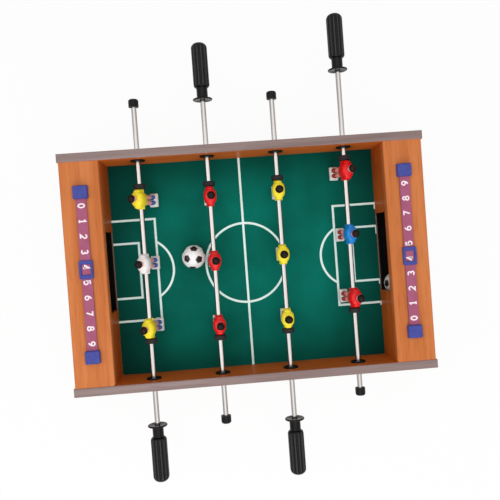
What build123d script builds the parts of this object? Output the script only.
from build123d import *
import os

# Tabletop foosball table, in millimetres. +X runs along the pitch towards the right goal, +Y across it towards
# the far rail, and +Z up. The table is drawn about the middle of its pitch and moved across at the end, so that
# the origin is on the surface it stands on, under the middle of its outline with the rods as they stand.

# Cabinet boards
TABLE_LENGTH = 500.0
TABLE_WIDTH = 330.0
RAIL_THICKNESS = 12.0
RAIL_HEIGHT = 94.0
RAIL_EDGE_RADIUS = 1.5
END_TOP_WIDTH = 54.0
END_TOP_THICKNESS = 12.0
END_TOP_DROP = 1.0
END_TOP_EDGE_RADIUS = 2.0
END_INSET = 1.5
END_PANEL_THICKNESS = 9.0
GOAL_WALL_THICKNESS = 5.0
PITCH_DEPTH = 68.0
PITCH_THICKNESS = 4.0
GROOVE_DEPTH = 4.0
GROOVE_END_GAP = 0.5

# Goals and balls
GOAL_WIDTH = 114.0
GOAL_HEIGHT = 52.0
GOAL_CORNER_RADIUS = 3.0
POCKET_WALL = 1.6
POCKET_SIDE_ROOM = 14.0
POCKET_DROP = 12.0
BALL_DIAMETER = 34.0
BALL_REST_SHARE = 0.93

# Rubber feet
FOOT_PAD_DIAMETER = 18.0
FOOT_PAD_HEIGHT = 4.0
FOOT_PAD_CHAMFER = 1.0

# Rods, bushings and stop rings
ROD_DIAMETER = 7.0
OUTER_ROD_RUN = 50.0
BUSHING_FLANGE_DIAMETER = 21.0
BUSHING_FLANGE_THICKNESS = 2.0
BUSHING_BARREL_DIAMETER = 14.0
BUSHING_PROUD = 1.5
RING_DIAMETER = 17.0
RING_LENGTH = 7.0
RING_EDGE_RADIUS = 1.6

# Handles and end caps
HANDLE_STANDOFF = 23.0
HANDLE_LENGTH = 80.0
HANDLE_FLANGE_DIAMETER = 27.5
HANDLE_FLANGE_THICKNESS = 2.4
HANDLE_FLANGE_RIM = 1.6
HANDLE_FLANGE_BACK = 1.6
HANDLE_DISH_DEPTH = 1.2
HANDLE_NECK_DIAMETER = 15.5
HANDLE_NECK_LENGTH = 13.0
HANDLE_GRIP_DIAMETER = 22.5
HANDLE_SHOULDER = 5.0
HANDLE_SOCKET_DEPTH = 60.0
HANDLE_END_RADIUS = 8.0
FLUTE_COUNT = 12
FLUTE_RADIUS = 2.2
FLUTE_DEPTH = 1.4
CAP_STANDOFF = 12.5
CAP_DIAMETER = 14.0
CAP_LENGTH = 11.0
CAP_SOCKET_DEPTH = 8.0
CAP_EDGE_RADIUS = 3.0

# Men, measured from the rod's axis
MEN_SPACING = 90.0
MAN_WIDTH = 28.0
HUB_DIAMETER = 11.0
HEM_DROP = 10.5
HEM_WIDTH = 17.5
HEM_DEPTH = 10.0
CHEST_RISE = 5.0
CHEST_WIDTH = 22.5
CHEST_DEPTH = 18.0
SHOULDER_RISE = 13.5
SHOULDER_WIDTH = 16.0
SHOULDER_DEPTH = 11.0
ARM_WIDTH = 6.5
ARM_DEPTH = 11.0
HAND_WIDTH = 4.5
HAND_DEPTH = 5.5
HAND_FORWARD = 0.8
ELBOW_FORWARD = 0.3
ARM_DROP = 5.0
SHOULDER_CAP_DROP = 2.2
SHOULDER_CAP_TUCK = 1.0
NECK_DIAMETER = 6.4
NECK_LENGTH = 2.2
HEAD_DIAMETER = 10.8
HEAD_HEIGHT = 13.0
LEG_SPREAD = 7.6
HIP_SIZE = 8.0
ANKLE_SIZE = 5.6
BOOT_LENGTH = 10.5
BOOT_WIDTH = 6.6
BOOT_HEIGHT = 4.2
BOOT_FORWARD = 0.8
SOLE_REACH = 39.0
SOLE_WIDTH = 19.5
SOLE_DEPTH = 12.0
SOLE_BLOCK_HEIGHT = 8.5
SOLE_BLOCK_EDGE = 4.0
SOLE_TOP_WIDTH = 14.5
SOLE_TOP_DEPTH = 9.0
SOLE_CLEARANCE = 3.5
BODY_ROUNDING = 0.42

# Where each rod stands along its travel, how far its far, middle and near man lean with the feet forward, and how
# much further than the standoff its handle is pushed on
ROD_NAMES = ("yellow_keeper", "red_attack", "yellow_attack", "red_keeper")
ROD_IS_RED = (False, True, False, True)
ROD_TRAVEL_SHARE = (0.21, 0.145, 0.19, 0.735)
MEN_LEAN_DEGREES = ((24.0, 16.0, 15.0), (5.0, 5.0, 5.0), (0.0, 0.0, 0.0), (15.0, 10.0, 12.0))
HANDLE_PUSH = (3.5, 4.5, -3.0, -2.0)
MAN_NAMES = ("far", "middle", "near")

# Scorers
SCORE_PITCH = 20.7
SCORE_COUNT = 10
SCORE_SHOWN = 4
SCORE_CENTRE_IN = 26.0
SCORE_BASE_WIDTH = 14.0
SCORE_STEM_WIDTH = 9.0
SCORE_STEM_HEIGHT = 1.5
SCORE_BASE_HEIGHT = 3.2
SCORE_STRIP_THICKNESS = 0.8
SCORE_END_ROOM = 9.3
SCORE_BLOCK_LENGTH = 18.0
SCORE_BLOCK_WIDTH = 20.0
SCORE_BLOCK_HEIGHT = 7.0
SCORE_BLOCK_RADIUS = 2.0
SLIDER_LENGTH = 25.0
SLIDER_WALL = 2.0
SLIDER_TOP = 1.8
SLIDER_TOP_CHAMFER = 0.6
SLIDER_WINDOW_LENGTH = 14.0
SLIDER_WINDOW_WIDTH = 11.5
SLIDER_WINDOW_BEVEL = 0.9
SLIDER_OFF_DIGIT = 3.3

# Screws
CABINET_SCREW_DIAMETER = 4.0
CABINET_SCREW_LENGTH = 36.0
CABINET_SCREW_HEAD_DIAMETER = 8.0
CABINET_SCREW_HEAD_DEPTH = 2.4
CABINET_SCREW_INSET = 16.0
MAN_SCREW_DIAMETER = 3.0
MAN_SCREW_HEAD_DIAMETER = 5.2
MAN_SCREW_HEAD_HEIGHT = 1.8
MAN_SCREW_BITE = 5.0
MAN_SCREW_RECESS = 2.6

# Clearances
RUNNING_CLEARANCE = 0.06
SEAT_CLEARANCE = 0.05
SLIDE_CLEARANCE = 0.3

# Places worked out from the sizes
RIM_Z = FOOT_PAD_HEIGHT + RAIL_HEIGHT
PITCH_Z = RIM_Z - PITCH_DEPTH
END_TOP_Z = RIM_Z - END_TOP_DROP
END_TOP_UNDER_Z = END_TOP_Z - END_TOP_THICKNESS
ROD_Z = PITCH_Z + SOLE_REACH + SOLE_CLEARANCE
OUTER_END_X = TABLE_LENGTH / 2 - END_INSET
WALL_X = OUTER_END_X - END_TOP_WIDTH
WALL_BACK_X = WALL_X + GOAL_WALL_THICKNESS
PANEL_X = OUTER_END_X - END_PANEL_THICKNESS
INNER_Y = TABLE_WIDTH / 2 - RAIL_THICKNESS
ROD_SPACING = (2 * WALL_X - 2 * OUTER_ROD_RUN) / (len(ROD_NAMES) - 1)
RING_OUTER_Y = MEN_SPACING + MAN_WIDTH / 2 + SLIDE_CLEARANCE + RING_LENGTH
ROD_TRAVEL = INNER_Y - BUSHING_FLANGE_THICKNESS - RING_OUTER_Y - SLIDE_CLEARANCE
RAIL_CLEAR_Y = TABLE_WIDTH / 2 + BUSHING_PROUD + ROD_TRAVEL
HANDLE_FACE_Y = RAIL_CLEAR_Y + HANDLE_STANDOFF
CAP_FACE_Y = RAIL_CLEAR_Y + CAP_STANDOFF
CABINET_SCREW_Z = (
    FOOT_PAD_HEIGHT + CABINET_SCREW_INSET,
    END_TOP_UNDER_Z - CABINET_SCREW_INSET,
    END_TOP_Z - END_TOP_THICKNESS / 2,
)
SCORE_X = WALL_X + SCORE_CENTRE_IN
SCORE_RUN = (SCORE_COUNT - 1) * SCORE_PITCH / 2 + SCORE_END_ROOM


def rod_x(index):
    """Place of a rod along the pitch, counted from the left."""
    return (index - (len(ROD_NAMES) - 1) / 2) * ROD_SPACING


def rod_offset(index):
    """How far a rod stands from the middle of its travel, towards the far rail."""
    return ROD_TRAVEL_SHARE[index] * ROD_TRAVEL


def handle_face(index):
    """How far the front of a handle stands from the rod's middle man."""
    return HANDLE_FACE_Y - HANDLE_PUSH[index]


def handle_reach(index):
    """How far a handle's end stands from the middle of the pitch."""
    outward = rod_offset(index) if ROD_IS_RED[index] else -rod_offset(index)
    return handle_face(index) + HANDLE_LENGTH + outward


def outline_middle():
    """Middle of the outline across the table, between the handles that reach furthest."""
    far = max(handle_reach(index) for index, red in enumerate(ROD_IS_RED) if red)
    near = max(handle_reach(index) for index, red in enumerate(ROD_IS_RED) if not red)
    return (far - near) / 2


def block(x0, x1, y0, y1, z0, z1):
    """Box between two opposite corners."""
    middle = Pos((x0 + x1) / 2, (y0 + y1) / 2, (z0 + z1) / 2)
    return middle * Box(x1 - x0, y1 - y0, z1 - z0)


def bar(radius, y0, y1):
    """Round bar along Y between two places."""
    return Pos(0, (y0 + y1) / 2, 0) * Rot(90, 0, 0) * Cylinder(radius, y1 - y0)


def pin(radius, x0, x1):
    """Round pin along X between two places."""
    return Pos((x0 + x1) / 2, 0, 0) * Rot(0, 90, 0) * Cylinder(radius, x1 - x0)


def turned(edges):
    """Solid turned about Y from a closed outline of edges in the XY plane."""
    return revolve(make_face(edges), Axis.Y)


def at_right_end(shape):
    """The same piece at the right end, turned half round from the left one."""
    return Rot(0, 0, 180) * shape


# Cabinet
def cabinet_screw(clearance):
    """Countersunk screw along Y with its head's face at the origin, entering towards +Y."""
    head = CABINET_SCREW_HEAD_DIAMETER / 2 + clearance
    shank = CABINET_SCREW_DIAMETER / 2 + clearance
    outline = Polyline(
        (0, 0),
        (head, 0),
        (shank, CABINET_SCREW_HEAD_DEPTH),
        (shank, CABINET_SCREW_LENGTH + clearance),
        (0, CABINET_SCREW_LENGTH + clearance),
        close=True,
    )
    return turned(outline.edges())


def cabinet_screws(clearance=0.0):
    """All screws through the two rails, three at each corner, with room round them if asked for."""
    one = cabinet_screw(clearance)
    screws = []
    for end in (-1, 1):
        for z in CABINET_SCREW_Z:
            depth = END_TOP_WIDTH / 2 if z > END_TOP_UNDER_Z else END_PANEL_THICKNESS / 2
            place = Pos(end * (OUTER_END_X - depth), -TABLE_WIDTH / 2, z)
            screws.append(place * one)
            screws.append(Rot(0, 0, 180) * place * one)
    return screws


def side_rail():
    """Near side rail: a board with a groove for the pitch and a hole for each bushing."""
    half = TABLE_LENGTH / 2
    rail = block(-half, half, -TABLE_WIDTH / 2, -INNER_Y, FOOT_PAD_HEIGHT, RIM_Z)
    top_edges = rail.faces().sort_by(Axis.Z)[-1].edges().filter_by(Axis.X)
    rail = fillet(top_edges, RAIL_EDGE_RADIUS)
    rail -= block(-PANEL_X, PANEL_X, -INNER_Y - GROOVE_DEPTH, -INNER_Y, PITCH_Z - PITCH_THICKNESS, PITCH_Z)
    barrel = bar(BUSHING_BARREL_DIAMETER / 2 + SEAT_CLEARANCE, -TABLE_WIDTH, 0)
    for index in range(len(ROD_NAMES)):
        rail -= Pos(rod_x(index), 0, ROD_Z) * barrel
    return rail - cabinet_screws(SEAT_CLEARANCE)


def end_top():
    """Left end top: the wide board beside the pitch, with its edge over the pitch rounded."""
    board = block(-OUTER_END_X, -WALL_X, -INNER_Y, INNER_Y, END_TOP_UNDER_Z, END_TOP_Z)
    upper = board.faces().sort_by(Axis.Z)[-1].edges().filter_by(Axis.Y)
    return fillet(upper, END_TOP_EDGE_RADIUS) - cabinet_screws(SEAT_CLEARANCE)


def end_panel():
    """Left outer end panel, upright under the end top."""
    board = block(-OUTER_END_X, -PANEL_X, -INNER_Y, INNER_Y, FOOT_PAD_HEIGHT, END_TOP_UNDER_Z)
    return board - cabinet_screws(SEAT_CLEARANCE)


def goal_mouth():
    """Goal mouth through the left wall, standing on the pitch, with rounded upper corners."""
    mouth = block(-WALL_BACK_X, -WALL_X, -GOAL_WIDTH / 2, GOAL_WIDTH / 2, PITCH_Z, PITCH_Z + GOAL_HEIGHT)
    upper = mouth.edges().filter_by(Axis.X).group_by(Axis.Z)[-1]
    return fillet(upper, GOAL_CORNER_RADIUS)


def goal_wall():
    """Left inner end wall, standing on the pitch, with the goal mouth cut out."""
    board = block(-WALL_BACK_X, -WALL_X, -INNER_Y, INNER_Y, PITCH_Z, END_TOP_UNDER_Z)
    return board - goal_mouth()


def pocket_half():
    """Half the width of a goal pocket, over its sides."""
    return GOAL_WIDTH / 2 + POCKET_SIDE_ROOM


def goal_pocket():
    """Left goal pocket: a tray that drops through the pitch behind the wall, its front edge under the pitch."""
    half = pocket_half()
    inner = half - POCKET_WALL
    front = -WALL_BACK_X + POCKET_WALL
    floor = PITCH_Z - POCKET_DROP
    tray = block(-PANEL_X, front, -half, half, floor - POCKET_WALL, PITCH_Z - PITCH_THICKNESS)
    tray += block(-PANEL_X, -WALL_BACK_X, -half, half, PITCH_Z - PITCH_THICKNESS, END_TOP_UNDER_Z)
    return tray - block(-PANEL_X + POCKET_WALL, -WALL_BACK_X, -inner, inner, floor, END_TOP_UNDER_Z)


def pitch_board():
    """Pitch board, held in the grooves of the rails and between the end panels, notched for the goal pockets."""
    half_width = INNER_Y + GROOVE_DEPTH - GROOVE_END_GAP
    board = block(-PANEL_X, PANEL_X, -half_width, half_width, PITCH_Z - PITCH_THICKNESS, PITCH_Z)
    half = pocket_half() + SEAT_CLEARANCE
    notch = block(-PANEL_X, -WALL_BACK_X, -half, half, PITCH_Z - PITCH_THICKNESS, PITCH_Z)
    return board - notch - at_right_end(notch)


def rubber_feet():
    """Four pads under the corners, each across the joint of a rail and an end panel."""
    pad = Pos(0, 0, FOOT_PAD_HEIGHT / 2) * Cylinder(FOOT_PAD_DIAMETER / 2, FOOT_PAD_HEIGHT)
    pad = chamfer(pad.edges().group_by(Axis.Z)[0], FOOT_PAD_CHAMFER)
    x = TABLE_LENGTH / 2 - RAIL_THICKNESS
    return [Pos(sx * x, sy * INNER_Y, 0) * pad for sx in (-1, 1) for sy in (-1, 1)]


def bushing():
    """Flanged bushing for the near rail: its flange bears on the rail's inner face, its bore runs along Y."""
    bore = ROD_DIAMETER / 2 + RUNNING_CLEARANCE
    barrel = BUSHING_BARREL_DIAMETER / 2
    flange = BUSHING_FLANGE_DIAMETER / 2
    inside = -INNER_Y + BUSHING_FLANGE_THICKNESS
    outside = -TABLE_WIDTH / 2 - BUSHING_PROUD
    bevel = BUSHING_FLANGE_THICKNESS / 2
    outline = Polyline(
        (bore, inside),
        (flange - bevel, inside),
        (flange, inside - bevel),
        (flange, -INNER_Y),
        (barrel, -INNER_Y),
        (barrel, outside + BUSHING_PROUD / 2),
        (barrel - BUSHING_PROUD / 2, outside),
        (bore, outside),
        close=True,
    )
    return turned(outline.edges())


# Scorers
def score_x_block(half_width, y0, y1, z0, z1):
    """Box on the left scorer's centre line, with heights measured from the end top."""
    x = -SCORE_X
    return block(x - half_width, x + half_width, y0, y1, END_TOP_Z + z0, END_TOP_Z + z1)


def score_base():
    """Left scorer's base: a rail with an undercut edge that the slider hooks under, and a block at each end."""
    reach = SCORE_RUN + SCORE_BLOCK_LENGTH
    base = score_x_block(SCORE_BASE_WIDTH / 2, -reach, reach, SCORE_STEM_HEIGHT, SCORE_BASE_HEIGHT)
    base += score_x_block(SCORE_STEM_WIDTH / 2, -reach, reach, 0, SCORE_STEM_HEIGHT)
    bed = SCORE_BASE_HEIGHT - SCORE_STRIP_THICKNESS
    base -= score_x_block(SCORE_BASE_WIDTH / 2, -SCORE_RUN, SCORE_RUN, bed, SCORE_BASE_HEIGHT)
    for end in (-1, 1):
        near, far = sorted((end * SCORE_RUN, end * reach))
        stop = score_x_block(SCORE_BLOCK_WIDTH / 2, near, far, 0, SCORE_BLOCK_HEIGHT)
        top = stop.faces().sort_by(Axis.Z)[-1]
        base += fillet(top.edges() + stop.edges().filter_by(Axis.Z), SCORE_BLOCK_RADIUS)
    return base


def score_strip():
    """Left number strip, lying on the base between the end blocks."""
    run = SCORE_RUN - SEAT_CLEARANCE
    bed = SCORE_BASE_HEIGHT - SCORE_STRIP_THICKNESS
    return score_x_block(SCORE_BASE_WIDTH / 2, -run, run, bed, SCORE_BASE_HEIGHT)


def score_rest():
    """Place of the left slider along its strip, over the number it shows."""
    return ((SCORE_COUNT - 1) / 2 - SCORE_SHOWN) * SCORE_PITCH - SLIDER_OFF_DIGIT


def score_slider():
    """Left score slider: a frame with a bevelled window, hooked round the base's edges."""
    gap = SLIDE_CLEARANCE
    y0 = score_rest() - SLIDER_LENGTH / 2
    y1 = score_rest() + SLIDER_LENGTH / 2
    channel = SCORE_BASE_WIDTH / 2 + gap
    ceiling = SCORE_BASE_HEIGHT + gap
    top = ceiling + SLIDER_TOP
    frame = score_x_block(channel + SLIDER_WALL, y0, y1, gap, top)
    frame = fillet(frame.edges().filter_by(Axis.Z), SLIDER_WALL)
    frame = chamfer(frame.faces().sort_by(Axis.Z)[-1].edges(), SLIDER_TOP_CHAMFER)
    frame -= score_x_block(channel, y0, y1, SCORE_STEM_HEIGHT - gap, ceiling)
    frame -= score_x_block(SCORE_STEM_WIDTH / 2 + gap, y0, y1, 0, ceiling)
    window = Pos(-SCORE_X, score_rest(), END_TOP_Z + ceiling)
    lower = window * Rectangle(SLIDER_WINDOW_WIDTH, SLIDER_WINDOW_LENGTH)
    wide = 2 * SLIDER_WINDOW_BEVEL
    upper = window * Pos(0, 0, SLIDER_TOP) * Rectangle(SLIDER_WINDOW_WIDTH + wide, SLIDER_WINDOW_LENGTH + wide)
    return frame - loft([lower, upper], ruled=True)


# Men, built upright on a rod along Y, facing +X
def body_section(height, depth, width, forward=0.0, aside=0.0):
    """Rounded section through a man at a height above the rod's axis."""
    return Pos(forward, aside, height) * RectangleRounded(depth, width, BODY_ROUNDING * min(depth, width))


def man_torso():
    """Shirt from the hem over the chest to the shoulders, with the hub that takes the rod."""
    sections = [
        body_section(-HEM_DROP, HEM_DEPTH, HEM_WIDTH),
        body_section(-CHEST_RISE, (HEM_DEPTH + CHEST_DEPTH) / 2, (HEM_WIDTH + CHEST_WIDTH) / 2),
        body_section(CHEST_RISE, CHEST_DEPTH, CHEST_WIDTH),
        body_section((CHEST_RISE + SHOULDER_RISE) / 2, CHEST_DEPTH, CHEST_WIDTH),
        body_section(SHOULDER_RISE, SHOULDER_DEPTH, SHOULDER_WIDTH),
    ]
    return loft(sections, ruled=True) + bar(HUB_DIAMETER / 2, -MAN_WIDTH / 2, MAN_WIDTH / 2)


def man_head():
    """Neck and head, turned about the man's upright axis."""
    chin = SHOULDER_RISE + NECK_LENGTH
    root = SHOULDER_RISE - NECK_LENGTH
    neck = NECK_DIAMETER / 2
    cheek = HEAD_DIAMETER / 2
    crown = chin + HEAD_HEIGHT
    temple = crown - cheek
    edges = [
        Line((0, root), (neck, root)),
        Line((neck, root), (neck, chin)),
        TangentArc((cheek, temple), (neck, chin), tangent=(0, -1)),
        TangentArc((cheek, temple), (0, crown), tangent=(0, 1)),
        Line((0, crown), (0, root)),
    ]
    return Rot(90, 0, 0) * turned(edges)


def man_arm(side):
    """One arm, held close to the side from the shoulder to the hand."""
    shoulder_y = side * (MAN_WIDTH - ARM_WIDTH) / 2
    hand_y = side * (MAN_WIDTH - HAND_WIDTH) / 2
    elbow_y = (shoulder_y + hand_y) / 2
    cap_y = shoulder_y - side * SHOULDER_CAP_TUCK
    sections = [
        body_section(-ARM_DROP, HAND_DEPTH, HAND_WIDTH, HAND_FORWARD, hand_y),
        body_section(0, (ARM_DEPTH + HAND_DEPTH) / 2, (ARM_WIDTH + HAND_WIDTH) / 2, ELBOW_FORWARD, elbow_y),
        body_section(CHEST_RISE, ARM_DEPTH, ARM_WIDTH, 0, shoulder_y),
        body_section(SHOULDER_RISE - SHOULDER_CAP_DROP, ARM_DEPTH / 2, ARM_WIDTH / 2, 0, cap_y),
    ]
    return loft(sections, ruled=True)


def man_leg(side):
    """One leg, tapering from the hip into the boot that stands on the sole block."""
    boot_top = -SOLE_REACH + SOLE_BLOCK_HEIGHT + BOOT_HEIGHT
    sections = [
        body_section(boot_top, ANKLE_SIZE, ANKLE_SIZE, 0, side * LEG_SPREAD / 2),
        body_section(-HEM_DROP, HIP_SIZE, HIP_SIZE, 0, side * LEG_SPREAD / 2),
    ]
    foot = Pos(BOOT_FORWARD, side * LEG_SPREAD / 2, boot_top - BOOT_HEIGHT)
    boot = extrude(foot * RectangleRounded(BOOT_LENGTH, BOOT_WIDTH, BODY_ROUNDING * BOOT_WIDTH), BOOT_HEIGHT)
    return loft(sections, ruled=True) + boot


def man_sole():
    """Kicking block under the boots: flat front and back, drawn in towards the boots."""
    foot = -SOLE_REACH
    lower = Pos(0, 0, foot) * Rectangle(SOLE_DEPTH, SOLE_WIDTH)
    edge = Pos(0, 0, foot + SOLE_BLOCK_EDGE) * Rectangle(SOLE_DEPTH, SOLE_WIDTH)
    upper = Pos(0, 0, foot + SOLE_BLOCK_HEIGHT) * Rectangle(SOLE_TOP_DEPTH, SOLE_TOP_WIDTH)
    return loft([lower, edge, upper], ruled=True)


def man_screw(clearance=0.0):
    """Screw that enters a man from the back, along X, and bites into the rod, with room round it if asked for."""
    seat = -CHEST_DEPTH / 2 + MAN_SCREW_RECESS
    tip = -ROD_DIAMETER / 2 + MAN_SCREW_BITE
    shank = pin(MAN_SCREW_DIAMETER / 2 + clearance, seat, tip + clearance)
    head_back = seat - MAN_SCREW_HEAD_HEIGHT if clearance == 0 else -CHEST_DEPTH
    return shank + pin(MAN_SCREW_HEAD_DIAMETER / 2 + clearance, head_back, seat)


def man():
    """One moulded man with the bore for the rod and the recess for its screw."""
    figure = man_torso() + man_head() + man_sole()
    for side in (-1, 1):
        figure += man_arm(side)
        figure += man_leg(side)
    figure -= bar(ROD_DIAMETER / 2 + SEAT_CLEARANCE, -MAN_WIDTH, MAN_WIDTH)
    return figure - man_screw(SEAT_CLEARANCE)


# Rod, handle, cap and rings, built with the middle man at the origin and the handle towards -Y
def man_places():
    """Places of the men along a rod, far man first."""
    return [((len(MAN_NAMES) - 1) / 2 - index) * MEN_SPACING for index in range(len(MAN_NAMES))]


def rod_men(index):
    """Name of each man of a rod, its place along it, and the turn by which it leans."""
    names = MAN_NAMES[::-1] if ROD_IS_RED[index] else MAN_NAMES
    leans = dict(zip(MAN_NAMES, MEN_LEAN_DEGREES[index]))
    return [(name, Pos(0, y, 0) * Rot(0, -leans[name], 0)) for name, y in zip(names, man_places())]


def rod(index):
    """Straight rod from inside the end cap to inside the handle, drilled for the men's screws."""
    cap_end = CAP_FACE_Y + CAP_SOCKET_DEPTH - SEAT_CLEARANCE
    handle_end = handle_face(index) + HANDLE_SOCKET_DEPTH - SEAT_CLEARANCE
    shaft = bar(ROD_DIAMETER / 2, -handle_end, cap_end)
    for _, stance in rod_men(index):
        shaft -= stance * man_screw(SEAT_CLEARANCE)
    return shaft


def handle():
    """Fluted handle with its front at the origin: a thin dished guard, a neck, and a grip with a rounded end."""
    bore = ROD_DIAMETER / 2 + SEAT_CLEARANCE
    flange = HANDLE_FLANGE_DIAMETER / 2
    neck = HANDLE_NECK_DIAMETER / 2
    grip = HANDLE_GRIP_DIAMETER / 2
    edge = HANDLE_FLANGE_THICKNESS / 2
    rim = flange - edge
    dish = rim - HANDLE_FLANGE_RIM
    neck_start = HANDLE_FLANGE_THICKNESS + HANDLE_FLANGE_BACK
    neck_end = neck_start + HANDLE_NECK_LENGTH
    grip_start = neck_end + HANDLE_SHOULDER
    grip_end = HANDLE_LENGTH - HANDLE_END_RADIUS
    crown = grip - HANDLE_END_RADIUS
    edges = [
        Line((bore, HANDLE_DISH_DEPTH), (dish, 0)),
        Line((dish, 0), (rim, 0)),
        ThreePointArc((rim, 0), (flange, edge), (rim, HANDLE_FLANGE_THICKNESS)),
        Line((rim, HANDLE_FLANGE_THICKNESS), (neck, neck_start)),
        Line((neck, neck_start), (neck, neck_end)),
        TangentArc((grip, grip_start), (neck, neck_end), tangent=(0, -1)),
        Line((grip, grip_start), (grip, grip_end)),
        TangentArc((grip, grip_end), (crown, HANDLE_LENGTH), tangent=(0, 1)),
        Line((crown, HANDLE_LENGTH), (0, HANDLE_LENGTH)),
        Line((0, HANDLE_LENGTH), (0, HANDLE_SOCKET_DEPTH)),
        Line((0, HANDLE_SOCKET_DEPTH), (bore, HANDLE_SOCKET_DEPTH)),
        Line((bore, HANDLE_SOCKET_DEPTH), (bore, HANDLE_DISH_DEPTH)),
    ]
    solid = turned(edges)
    flute = Pos(grip + FLUTE_RADIUS - FLUTE_DEPTH, 0, 0) * bar(FLUTE_RADIUS, neck_end, HANDLE_LENGTH)
    for index in range(FLUTE_COUNT):
        solid -= Rot(0, index * 360 / FLUTE_COUNT, 0) * flute
    return Rot(0, 0, 180) * solid


def end_cap():
    """Round cap on the rod's free end."""
    bore = ROD_DIAMETER / 2 + SEAT_CLEARANCE
    radius = CAP_DIAMETER / 2
    outline = Polyline(
        (bore, 0),
        (radius, 0),
        (radius, CAP_LENGTH),
        (0, CAP_LENGTH),
        (0, CAP_SOCKET_DEPTH),
        (bore, CAP_SOCKET_DEPTH),
        close=True,
    )
    cap = turned(outline.edges())
    cap = fillet(cap.edges().group_by(Axis.Y)[-1], CAP_EDGE_RADIUS)
    return Pos(0, CAP_FACE_Y, 0) * cap


def stop_rings():
    """Two rubber rings outside the outer men, free to stay still while the rod turns."""
    ring = bar(RING_DIAMETER / 2, RING_OUTER_Y - RING_LENGTH, RING_OUTER_Y)
    ring = fillet(ring.edges(), RING_EDGE_RADIUS)
    ring -= bar(ROD_DIAMETER / 2 + RUNNING_CLEARANCE, 0, RING_OUTER_Y + RING_LENGTH)
    return [ring, Rot(0, 0, 180) * ring]


# Ball in the right goal
def goal_ball():
    """Ball lying in the right goal pocket, against the goal wall and near the pocket's near side."""
    reach = BALL_DIAMETER / 2 + SLIDE_CLEARANCE
    room = pocket_half() - POCKET_WALL - reach
    place = Pos(WALL_BACK_X + reach, -BALL_REST_SHARE * room, PITCH_Z - POCKET_DROP + reach)
    return place * Sphere(BALL_DIAMETER / 2)


def collect():
    """Solids of every node of the table by name."""
    near_rail = side_rail()
    nodes = {
        "side_rail_near": [near_rail],
        "side_rail_far": [Rot(0, 0, 180) * near_rail],
        "pitch_board": [pitch_board()],
        "rubber_feet": rubber_feet(),
        "cabinet_screws": cabinet_screws(),
        "goal_ball": [goal_ball()],
    }
    end_pieces = {
        "end_top": end_top(),
        "end_panel": end_panel(),
        "goal_wall": goal_wall(),
        "goal_pocket": goal_pocket(),
        "score_base": score_base(),
        "score_strip": score_strip(),
        "score_slider": score_slider(),
    }
    for name, shape in end_pieces.items():
        nodes[name + "_left"] = [shape]
        nodes[name + "_right"] = [at_right_end(shape)]
    figure = man()
    grip = handle()
    screw = man_screw()
    for index, name in enumerate(ROD_NAMES):
        on_axis = Pos(rod_x(index), 0, ROD_Z)
        team = Rot(0, 0, 180) if ROD_IS_RED[index] else Rot(0, 0, 0)
        place = Pos(rod_x(index), rod_offset(index), ROD_Z) * team
        nodes[name + "_bushing_near"] = [on_axis * bushing()]
        nodes[name + "_bushing_far"] = [on_axis * Rot(0, 0, 180) * bushing()]
        nodes[name + "_rod"] = [place * rod(index)]
        nodes[name + "_handle"] = [place * Pos(0, -handle_face(index), 0) * grip]
        nodes[name + "_end_cap"] = [place * end_cap()]
        nodes[name + "_stop_rings"] = [place * ring for ring in stop_rings()]
        nodes[name + "_man_screws"] = [place * stance * screw for _, stance in rod_men(index)]
        for man_name, stance in rod_men(index):
            nodes[f"{name}_man_{man_name}"] = [place * stance * figure]
    return nodes


os.makedirs("parts", exist_ok=True)
to_middle = Pos(0, -outline_middle(), 0)
for node_name, solids in collect().items():
    placed = [to_middle * solid for solid in solids]
    export_step(placed[0] if len(placed) == 1 else Compound(children=placed), f"parts/{node_name}.step")
print("middle of the outline lies", round(outline_middle(), 4), "from the middle of the pitch")
for rod_index, rod_name in enumerate(ROD_NAMES):
    print(rod_name, "at x", round(rod_x(rod_index), 4), "stands off middle by", round(rod_offset(rod_index), 4))
print("rod travel each way", round(ROD_TRAVEL, 4), "rod axis height", ROD_Z)
print("slider rest", round(score_rest(), 4), "run", round(SCORE_RUN, 4))
